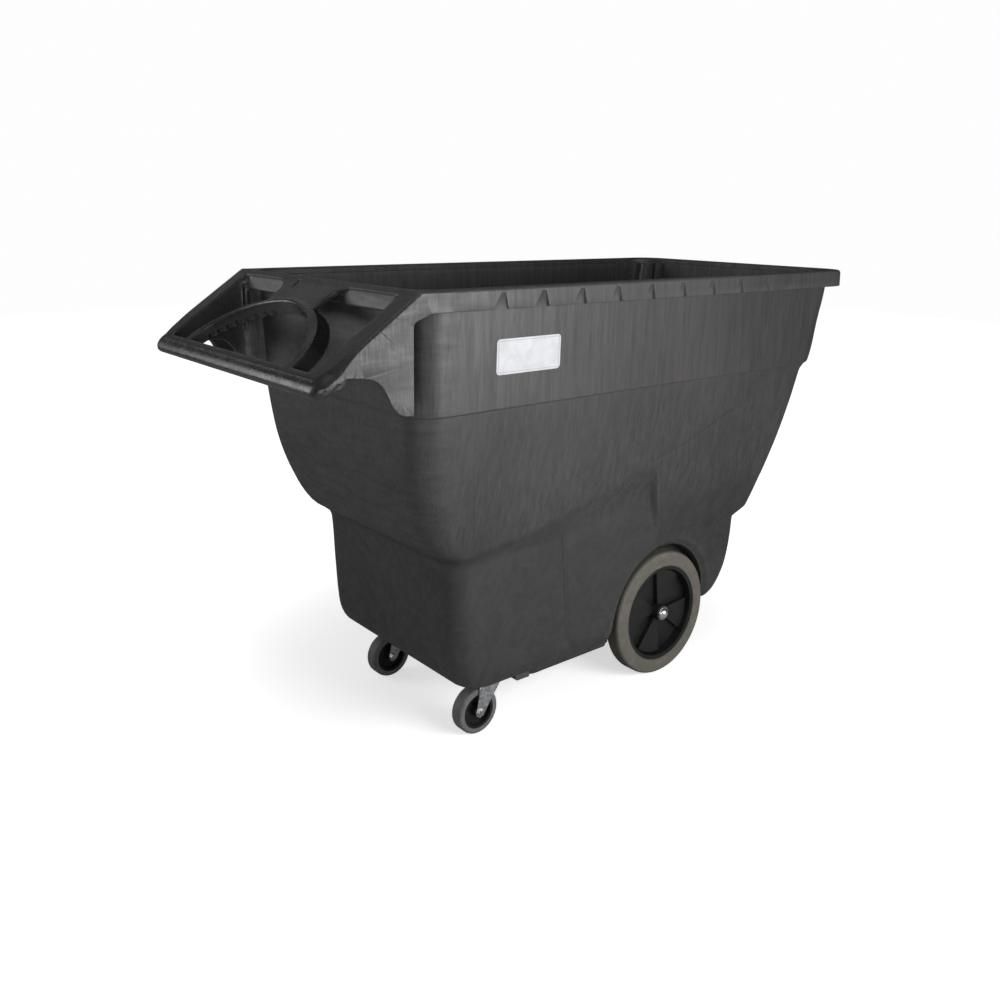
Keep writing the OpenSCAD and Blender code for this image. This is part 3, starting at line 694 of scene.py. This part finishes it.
def side_plate(side):
    end = BAR_FACE_X + 187.2     # upright edge at the nose end of the plate
    outline = [(BAR_FACE_X + 14, 829)] + spline(PLATE_LOW, 4)
    outline += [(end - 0.6, 762.9), (end, 764.5), (end, RIM_Z - 62), (end + 1.5, RIM_Z - 56),
                (end + 7, RIM_Z - 51.5), (end + 32, RIM_Z - 42), (end + 42, RIM_Z - RIM_DEPTH),
                (RIM_X + 60, RIM_Z - RIM_DEPTH), (RIM_X + 60, RIM_Z - 8), (RIM_X, RIM_Z - 8),
                on_deck(BAR_U + 80, 0, -7)[::2], on_deck(BAR_U + 20, 0, -16)[::2]]
    return prism(outline, 346, FACE_Y, "wing", lambda a, b, h: (a, side * h, b))


def inner_wall(side):
    """Leaning wall inside the plate that curves in to the end wall of the tub."""
    half_t = 3
    sections = []
    for x, foot, head, z in INNER_WALL:
        top = min(RIM_Z - 12, RIM_Z - 3 - (RIM_X - x) * SIN / COS)
        sections.append([(x, side * (foot - half_t), z), (x, side * (foot + half_t), z),
                         (x, side * (head + half_t), top), (x, side * (head - half_t), top)])
    return loft(sections, "inner")


def return_flange(side):
    """Upright flange that carries the plate back to the end wall."""
    outline = [(-589.3, 290), (-589.3, 350), (-581.4, 350), (-581.4, 286)]
    return prism(outline, 766, RIM_Z - 34, "return", lambda a, b, h: (a, side * b, h))


def both_sides(*makers):
    return [make(side) for side in SIDES for make in makers]


def blend_handle(handle):
    """Melt the joined pieces into one softened skin, keeping the outer faces flat."""
    mod = handle.modifiers.new("remesh", "REMESH")
    mod.mode, mod.voxel_size, mod.use_smooth_shade = "VOXEL", 0.0022, True
    mod = handle.modifiers.new("smooth", "SMOOTH")
    mod.factor, mod.iterations = 0.5, 4
    apply_modifiers(handle)
    co = np.empty(len(handle.data.vertices) * 3)
    handle.data.vertices.foreach_get("co", co)
    co = co.reshape(-1, 3)
    outer = np.abs(co[:, 1]) > (FACE_Y - 0.9) * MM
    co[:, 2] = np.minimum(co[:, 2], (RIM_Z - 0.25) * MM)
    co[outer, 1] = np.sign(co[outer, 1]) * FACE_Y * MM
    handle.data.vertices.foreach_set("co", co.ravel())
    handle.data.update()


def mouth_core():
    """Solid that trims whatever of the handle would reach into the tub."""
    rings = [tub_ring(z, z, 5, 0, COARSE) for z in (600, 660, 742, 746, 840, 940)]
    rings.append(tub_ring(RIM_Z - 12, 955, 3, 0, COARSE))
    rings.append(tub_ring(RIM_Z + 4, 975, 1.0, 0, COARSE))
    return skin(rings, "core")


handle = join([grip_bar(), deck()]
              + both_sides(side_strip, side_edge, flange_corner, pocket_slope)
              + [opening_rail()]
              + both_sides(side_plate, inner_wall, return_flange), "handle")
blend_handle(handle)
boolean(handle, "DIFFERENCE", mouth_core())
handle.modifiers.new("decimate", "DECIMATE").ratio = 0.42
apply_modifiers(handle)
boolean(tub, "UNION", handle)


# ---------------------------------------------------------------- material helpers
class Shader:
    """A material with a Principled surface and short calls for the nodes that feed it."""
    def __init__(self, name):
        self.material = bpy.data.materials.new(name)
        self.material.use_nodes = True
        self.tree = self.material.node_tree
        self.tree.nodes.clear()
        output = self.node("OutputMaterial")
        self.surface = self.node("BsdfPrincipled")
        self.tree.links.new(self.surface.outputs[0], output.inputs[0])
        self.coords = self.node("TexCoord").outputs["Object"]

    def node(self, kind, inputs={}, **settings):
        node = self.tree.nodes.new("ShaderNode" + kind)
        for key, value in settings.items():
            setattr(node, key, value)
        for socket, value in inputs.items():
            self.put(node.inputs[socket], value)
        return node

    def put(self, socket, value):
        """Link a socket or set a plain value; None leaves the default."""
        if isinstance(value, bpy.types.NodeSocket):
            self.tree.links.new(value, socket)
        elif value is not None:
            socket.default_value = value

    def finish(self, **inputs):
        for key, value in inputs.items():
            self.put(self.surface.inputs[key.replace("_", " ")], value)
        return self.material

    def mapping(self, scale=(1, 1, 1), turn=(0, 0, 0), shift=(0, 0, 0)):
        return self.node("Mapping", {
            "Vector": self.coords, "Scale": scale,
            "Rotation": [math.radians(a) for a in turn], "Location": shift}).outputs[0]

    def noise(self, scale=1.0, detail=4, rough=0.55, warp=0.0, vector=None):
        return self.node("TexNoise", {
            "Vector": vector or self.coords, "Scale": scale, "Detail": detail,
            "Roughness": rough, "Distortion": warp}).outputs["Fac"]

    def math(self, operation, a, b=None):
        return self.node("Math", {0: a, 1: b}, operation=operation).outputs[0]

    def times(self, a, b):
        return self.math("MULTIPLY", a, b)

    def remap(self, value, low, high, to=(0.0, 1.0)):
        """Smooth step of value from low..high onto the range to."""
        return self.node("MapRange", {0: value, 1: low, 2: high, 3: to[0], 4: to[1]},
                         interpolation_type="SMOOTHSTEP").outputs[0]

    def mix(self, factor, a, b):
        return self.node("Mix", {0: factor, 6: a, 7: b}, data_type="RGBA").outputs[2]

    def blend(self, factor, a, b):
        return self.node("Mix", {0: factor, 2: a, 3: b}).outputs[0]

    def xyz(self, vector=None):
        return self.node("SeparateXYZ", {0: vector or self.coords}).outputs

    def bump(self, height, distance, strength, after=None):
        return self.node("Bump", {"Strength": strength, "Distance": distance,
                                  "Height": height, "Normal": after}).outputs[0]

    def edge(self, width):
        """Mask of convex edges from pointiness: 1 on edges, 0 on flats; it paints a highlight on the
        tub's edges and places dust on the caster tread's edges.
        """
        pointiness = self.node("NewGeometry").outputs["Pointiness"]
        return self.remap(pointiness, 0.5, 0.5 + width)


def rgb(*display):
    """Linear colour from display values 0 to 255."""
    return tuple(((c / 255) / 12.92 if c / 255 <= 0.04045 else ((c / 255 + 0.055) / 1.055) ** 2.4)
                 for c in display) + (1,)


# ---------------------------------------------------------------- materials
def tub_plastic():
    m = Shader("moulded_plastic")
    x, _, z = m.xyz()
    # long vertical flow streaks, slanted streaks on the end wall, swirls low on the sides
    streak = m.noise(detail=6, rough=0.62, warp=0.25, vector=m.mapping(scale=(95, 95, 5.5)))
    fine = m.noise(detail=4, rough=0.6, warp=0.2, vector=m.mapping(scale=(330, 330, 20)))
    slant = m.noise(detail=6, rough=0.6, warp=0.5,
                    vector=m.mapping(scale=(14, 16, 70), turn=(38, 0, 0)))
    swirl = m.noise(scale=11.0, detail=7, rough=0.62, warp=2.6)
    small_swirl = m.noise(scale=42.0, detail=5, rough=0.6, warp=1.2)
    cloud = m.noise(scale=3.2, detail=4, rough=0.5, warp=0.4)
    low = m.remap(m.math("ADD", z, m.times(cloud, 0.16)), low=0.56, high=0.47)
    end_wall = m.remap(x, low=-0.44, high=-0.50)
    marks = m.blend(end_wall, m.blend(0.35, streak, fine), m.blend(0.5, slant, fine))
    marks = m.blend(low, marks, m.blend(0.45, swirl, small_swirl))
    grain = m.noise(scale=900.0, detail=3, rough=0.6)
    tone = m.math("ADD", m.times(marks, 0.75), m.times(cloud, 0.25))
    base = m.mix(m.remap(tone, low=0.34, high=0.66),
                 (0.0265, 0.0250, 0.0252, 1), (0.060, 0.0572, 0.0575, 1))
    # the lower body is a shade darker
    base = m.mix(m.times(low, 0.42), base, (0.017, 0.0162, 0.0165, 1))
    # all but the side faces of the handle are smoother, and their colour is darkened as painted shade
    on_handle = m.remap(x, low=-0.575, high=-0.585)
    normal_y = m.xyz(m.node("NewGeometry").outputs["Normal"])[1]
    not_side = m.remap(m.math("ABSOLUTE", normal_y), low=0.80, high=0.95, to=(1.0, 0.0))
    handle_shade_and_gloss = m.times(on_handle, not_side)
    # painted shade: the handle's faces other than its sides are darkened to a flat dark grey
    base = m.mix(handle_shade_and_gloss, base, (0.030, 0.030, 0.032, 1))
    # painted highlight: the convex edges of the tub and handle are lightened towards pale grey
    base = m.mix(m.times(m.edge(width=0.06), 0.22), base, (0.16, 0.155, 0.155, 1))
    rough = m.remap(marks, low=0.35, high=0.65, to=(0.56, 0.42))
    worn_noise = m.noise(scale=26, detail=4, rough=0.6)
    rough = m.blend(handle_shade_and_gloss, rough, m.remap(worn_noise, low=0.35, high=0.65, to=(0.20, 0.34)))
    bump = m.bump(marks, distance=0.0011, strength=0.45)
    bump = m.bump(grain, distance=0.00022, strength=0.5, after=bump)
    return m.finish(Base_Color=base, Roughness=rough, Normal=bump, IOR=1.5,
                    Specular_IOR_Level=0.55)


def plastic(name, dark, light, scale, rough, bump=0.0002, dust=None):
    """Mottled plastic or rubber; dust is the colour of its scuffed edges."""
    m = Shader(name)
    mottle = m.noise(scale=scale, detail=5, rough=0.6, warp=0.4)
    fine = m.noise(scale=scale * 12, detail=3, rough=0.6)
    base = m.mix(m.remap(mottle, low=0.3, high=0.7), dark, light)
    if dust:
        base = m.mix(m.times(m.edge(width=0.08), 0.35), base, dust)
    return m.finish(Base_Color=base, Roughness=m.remap(mottle, low=0.3, high=0.7, to=rough),
                    Normal=m.bump(m.blend(0.5, mottle, fine), distance=bump, strength=0.6))


def tyre_rubber():
    """Grey solid rubber: warm face, darker tread and centre, fine rings about the axle."""
    m = Shader("tyre_rubber")
    x, _, z = m.xyz()
    dx = m.math("SUBTRACT", x, AXLE_X * MM)
    dz = m.math("SUBTRACT", z, AXLE_Z * MM)
    radius = m.math("SQRT", m.math("ADD", m.times(dx, dx), m.times(dz, dz)))
    mottle = m.noise(scale=55, detail=6, rough=0.65, warp=0.6)
    fine = m.noise(scale=700, detail=3, rough=0.6)
    about_axle = m.mapping(shift=(-AXLE_X * MM, 0, -AXLE_Z * MM))
    rings = m.node("TexWave", {"Vector": about_axle, "Scale": 90.0, "Distortion": 0.3},
                   wave_type="RINGS", rings_direction="Y").outputs["Fac"]
    base = m.mix(m.remap(mottle, low=0.3, high=0.72), rgb(90, 87, 80), rgb(106, 103, 96))
    tread = m.remap(radius, low=(WHEEL_R - 5) * MM, high=(WHEEL_R - 0.6) * MM)
    base = m.mix(m.times(tread, 0.55), base, rgb(62, 60, 57))
    centre = m.remap(radius, low=0.1205, high=0.1168)
    base = m.mix(m.times(centre, 0.45), base, rgb(56, 54, 51))
    scuffs = m.remap(m.noise(scale=16, detail=5, rough=0.6, warp=1.5), low=0.55, high=0.75)
    base = m.mix(m.times(scuffs, 0.25), base, rgb(78, 76, 71))
    bump = m.bump(rings, distance=0.00025, strength=0.35)
    bump = m.bump(fine, distance=0.00025, strength=0.5, after=bump)
    return m.finish(Base_Color=base, Roughness=m.remap(mottle, low=0.3, high=0.7, to=(0.62, 0.78)),
                    Normal=bump, Specular_IOR_Level=0.35)


def metal(name, dark, light, rough, scale=60, stretch=(1, 1, 1), spangle=False):
    m = Shader(name)
    vector = m.mapping(scale=stretch)
    mottle = m.noise(scale=scale, detail=6, rough=0.65, warp=0.5, vector=vector)
    fine = m.noise(scale=scale * 9, detail=3, rough=0.6, vector=vector)
    if spangle:
        cells = m.node("TexVoronoi", {"Vector": m.coords, "Scale": scale * 3.2})
        mottle = m.blend(0.5, mottle, cells.outputs["Distance"])
    return m.finish(
        Base_Color=m.mix(m.remap(mottle, low=0.3, high=0.7), dark, light), Metallic=1.0,
        Roughness=m.remap(mottle, low=0.3, high=0.7, to=rough),
        Normal=m.bump(m.blend(0.5, mottle, fine), distance=0.00012, strength=0.5))


def label_film():
    """Blank printed plate: off-white face, thin grey border and a faint satin film."""
    m = Shader("label_film")
    lo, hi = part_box("label_right")
    x, _, z = m.xyz()

    def from_centre(value, low, high):
        """0 at the middle of the label, 1 at its edge."""
        offset = m.math("ABSOLUTE", m.math("SUBTRACT", value, (low + high) / 2))
        return m.math("DIVIDE", offset, (high - low) / 2)

    def within(x_limits, z_limits):
        return [m.remap(value, *limits, to=(1, 0))
                for value, limits in ((across, x_limits), (upward, z_limits))]

    across, upward = from_centre(x, lo.x, hi.x), from_centre(z, lo.z, hi.z)
    x_outer, z_outer = (0.955, 0.97), (0.90, 0.93)     # outer limits of the border line
    x_fade, z_fade = within(x_outer, z_outer)
    line = m.math("MAXIMUM", m.times(m.remap(across, low=0.925, high=0.94), x_fade),
                  m.times(m.remap(upward, low=0.84, high=0.87), z_fade))
    line = m.times(line, m.times(*within(x_outer, z_outer)))
    mottle = m.noise(scale=40, detail=5, rough=0.6, warp=0.5)
    base = m.mix(m.remap(mottle, low=0.3, high=0.7), rgb(192, 194, 197), rgb(206, 207, 210))
    base = m.mix(m.times(line, 0.35), base, rgb(120, 122, 126))
    return m.finish(Base_Color=base, Roughness=m.remap(mottle, low=0.3, high=0.7, to=(0.30, 0.42)),
                    Normal=m.bump(mottle, distance=0.0001, strength=0.4))


def studio_floor():
    """Pale matte floor that runs out to the white backdrop."""
    m = Shader("studio_floor")
    cloud = m.noise(scale=3, detail=2, rough=0.5)
    x, y, _ = m.xyz()
    distance = m.math("SQRT", m.math("ADD", m.times(x, x), m.times(y, y)))
    seen = m.node("LightPath").outputs["Is Camera Ray"]
    pale = m.mix(cloud, (0.93, 0.93, 0.93, 1), (0.95, 0.95, 0.95, 1))
    glow = m.times(seen, m.remap(distance, low=0.45, high=1.25, to=(0.60, 1.0)))
    return m.finish(Base_Color=m.mix(seen, (0.5, 0.5, 0.5, 1), pale), Roughness=0.95,
                    Emission_Strength=glow, Emission_Color=(1, 1, 1, 1), Specular_IOR_Level=0.0)


MATERIALS = {
    "tub_plastic": tub_plastic(),
    "label_film": label_film(),
    "tyre_rubber": tyre_rubber(),
    "hub_plastic": plastic(
        "hub_plastic", dark=(0.0035, 0.0034, 0.0036, 1), light=(0.0065, 0.0063, 0.0065, 1),
        scale=30, rough=(0.42, 0.58)),
    "bush_nylon": plastic(
        "bush_nylon", dark=rgb(196, 194, 186), light=rgb(214, 212, 204),
        scale=50, rough=(0.4, 0.5)),
    "caster_core_plastic": plastic(
        "caster_core_plastic", dark=(0.005, 0.005, 0.0055, 1), light=(0.010, 0.010, 0.0105, 1),
        scale=60, rough=(0.35, 0.5)),
    "caster_tread_rubber": plastic(
        "caster_tread_rubber", dark=rgb(84, 84, 86), light=rgb(104, 104, 106),
        scale=80, rough=(0.55, 0.7), bump=0.0003, dust=rgb(130, 130, 130)),
    "ball_steel": metal(
        "ball_steel", dark=(0.55, 0.55, 0.56, 1), light=(0.7, 0.7, 0.71, 1), rough=(0.12, 0.22)),
    "cap_chrome": metal(
        "cap_chrome", dark=(0.62, 0.62, 0.63, 1), light=(0.8, 0.8, 0.81, 1),
        rough=(0.14, 0.30), scale=120),
    "zinc_sheet": metal(
        "zinc_sheet", dark=(0.46, 0.47, 0.48, 1), light=(0.66, 0.67, 0.68, 1),
        rough=(0.26, 0.42), scale=40, spangle=True),
    "axle_steel": metal(
        "axle_steel", dark=(0.34, 0.34, 0.35, 1), light=(0.5, 0.5, 0.51, 1),
        rough=(0.28, 0.42), scale=30, stretch=(4, 0.4, 4)),
    "zinc_hardware": metal(
        "zinc_hardware", dark=(0.45, 0.45, 0.46, 1), light=(0.66, 0.65, 0.62, 1),
        rough=(0.24, 0.4), scale=90),
}

# ---------------------------------------------------------------- finish of every piece
slot_of = {s["node"]: s["material_slot"] for s in frame["record"]["subparts"]}
for name, obj in frame["NODES" if "NODES" in frame else "nodes"].items():
    if len(obj.material_slots) == 0:
        obj.data.materials.append(MATERIALS[slot_of[name]])
    for slot in obj.material_slots:
        slot.material = MATERIALS[slot_of[name]]

tub.data.materials.clear()
tub.data.materials.append(MATERIALS["tub_plastic"])
tub.data.polygons.foreach_set("material_index", [0] * len(tub.data.polygons))
tub.data.polygons.foreach_set("use_smooth", [True] * len(tub.data.polygons))
tub.data.set_sharp_from_angle(angle=math.radians(34))
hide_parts("tub")
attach(tub, "tub")


# ---------------------------------------------------------------- camera, lights and world
def add_camera(location, yaw, pitch, roll, lens, shift):
    """Camera from angles in radians: yaw from +X, pitch above level, roll about the view."""
    data = bpy.data.cameras.new("camera")
    camera = link_object("camera", data)
    ahead = Vector((math.cos(pitch) * math.cos(yaw), math.cos(pitch) * math.sin(yaw),
                    math.sin(pitch)))
    level = Vector((math.sin(yaw), -math.cos(yaw), 0))
    upright = level.cross(ahead)
    right = level * math.cos(roll) + upright * math.sin(roll)
    up = upright * math.cos(roll) - level * math.sin(roll)
    pose = Matrix((right, up, -ahead)).transposed().to_4x4()
    pose.translation = Vector(location)
    camera.matrix_world = pose
    data.lens, data.sensor_width = lens, 36.0
    data.shift_x, data.shift_y = shift
    data.clip_start, data.clip_end = 0.05, 60
    bpy.context.scene.camera = camera


def area_light(name, location, aim, size, power):
    data = bpy.data.lights.new(name, "AREA")
    data.shape, data.size, data.size_y = "RECTANGLE", size[0], size[1]
    data.energy = power
    obj = bpy.data.objects.new(name, data)
    obj.location = location
    obj.rotation_euler = (Vector(aim) - Vector(location)).to_track_quat("-Z", "Y").to_euler()
    obj.visible_camera = False
    bpy.context.scene.collection.objects.link(obj)


def add_world():
    """Dim grey light on the truck, near-white where the camera sees it."""
    world = bpy.data.worlds.new("studio")
    bpy.context.scene.world = world
    world.use_nodes = True
    tree = world.node_tree
    background = tree.nodes["Background"]
    path = tree.nodes.new("ShaderNodeLightPath")
    mix = tree.nodes.new("ShaderNodeMix")
    mix.data_type = "RGBA"
    tree.links.new(path.outputs["Is Camera Ray"], mix.inputs[0])
    mix.inputs[6].default_value = (0.075, 0.075, 0.0765, 1)
    mix.inputs[7].default_value = (0.985, 0.985, 0.985, 1)
    tree.links.new(mix.outputs[2], background.inputs[0])
    background.inputs[1].default_value = 1.0


add_camera(location=(-1.5145, -1.7366, 1.1179), yaw=0.8578, pitch=-0.1631, roll=0.0162,
           lens=35.32, shift=(-0.0300, -0.1291))
# name, location, aim, size (metres), power (watts)
for light in (
        ("key", (0.11, -1.66, 0.90), (0.06, -0.3, 0.76), (1.1, 0.8), 23),
        ("wash", (-2.1, -1.5, 0.65), (-0.55, 0.0, 0.55), (1.0, 1.0), 9),
        ("sheen", (1.3, -3.3, 0.95), (-0.2, -0.3, 0.6), (2.0, 1.7), 12),
        ("top", (-0.4, 0.1, 3.2), (-0.1, 0, 0.4), (2.6, 2.2), 12),
        ("end", (-2.6, 2.2, 1.3), (-0.5, 0.0, 0.6), (1.6, 1.6), 26),
        ("back", (0.3, 2.8, 2.5), (-0.3, 0, 0.7), (2.2, 1.6), 2)):
    area_light(*light)
add_world()

FLOOR = 9 / MM                   # half the floor's side
floor = new_object("floor", [(-FLOOR, -FLOOR, 0), (FLOOR, -FLOOR, 0), (FLOOR, FLOOR, 0),
                             (-FLOOR, FLOOR, 0)], [(0, 1, 2, 3)])
floor.data.materials.append(studio_floor())
view = bpy.context.scene.view_settings
view.view_transform = "Standard"
view.look = "None"
view.exposure = 0.0
view.gamma = 1.0
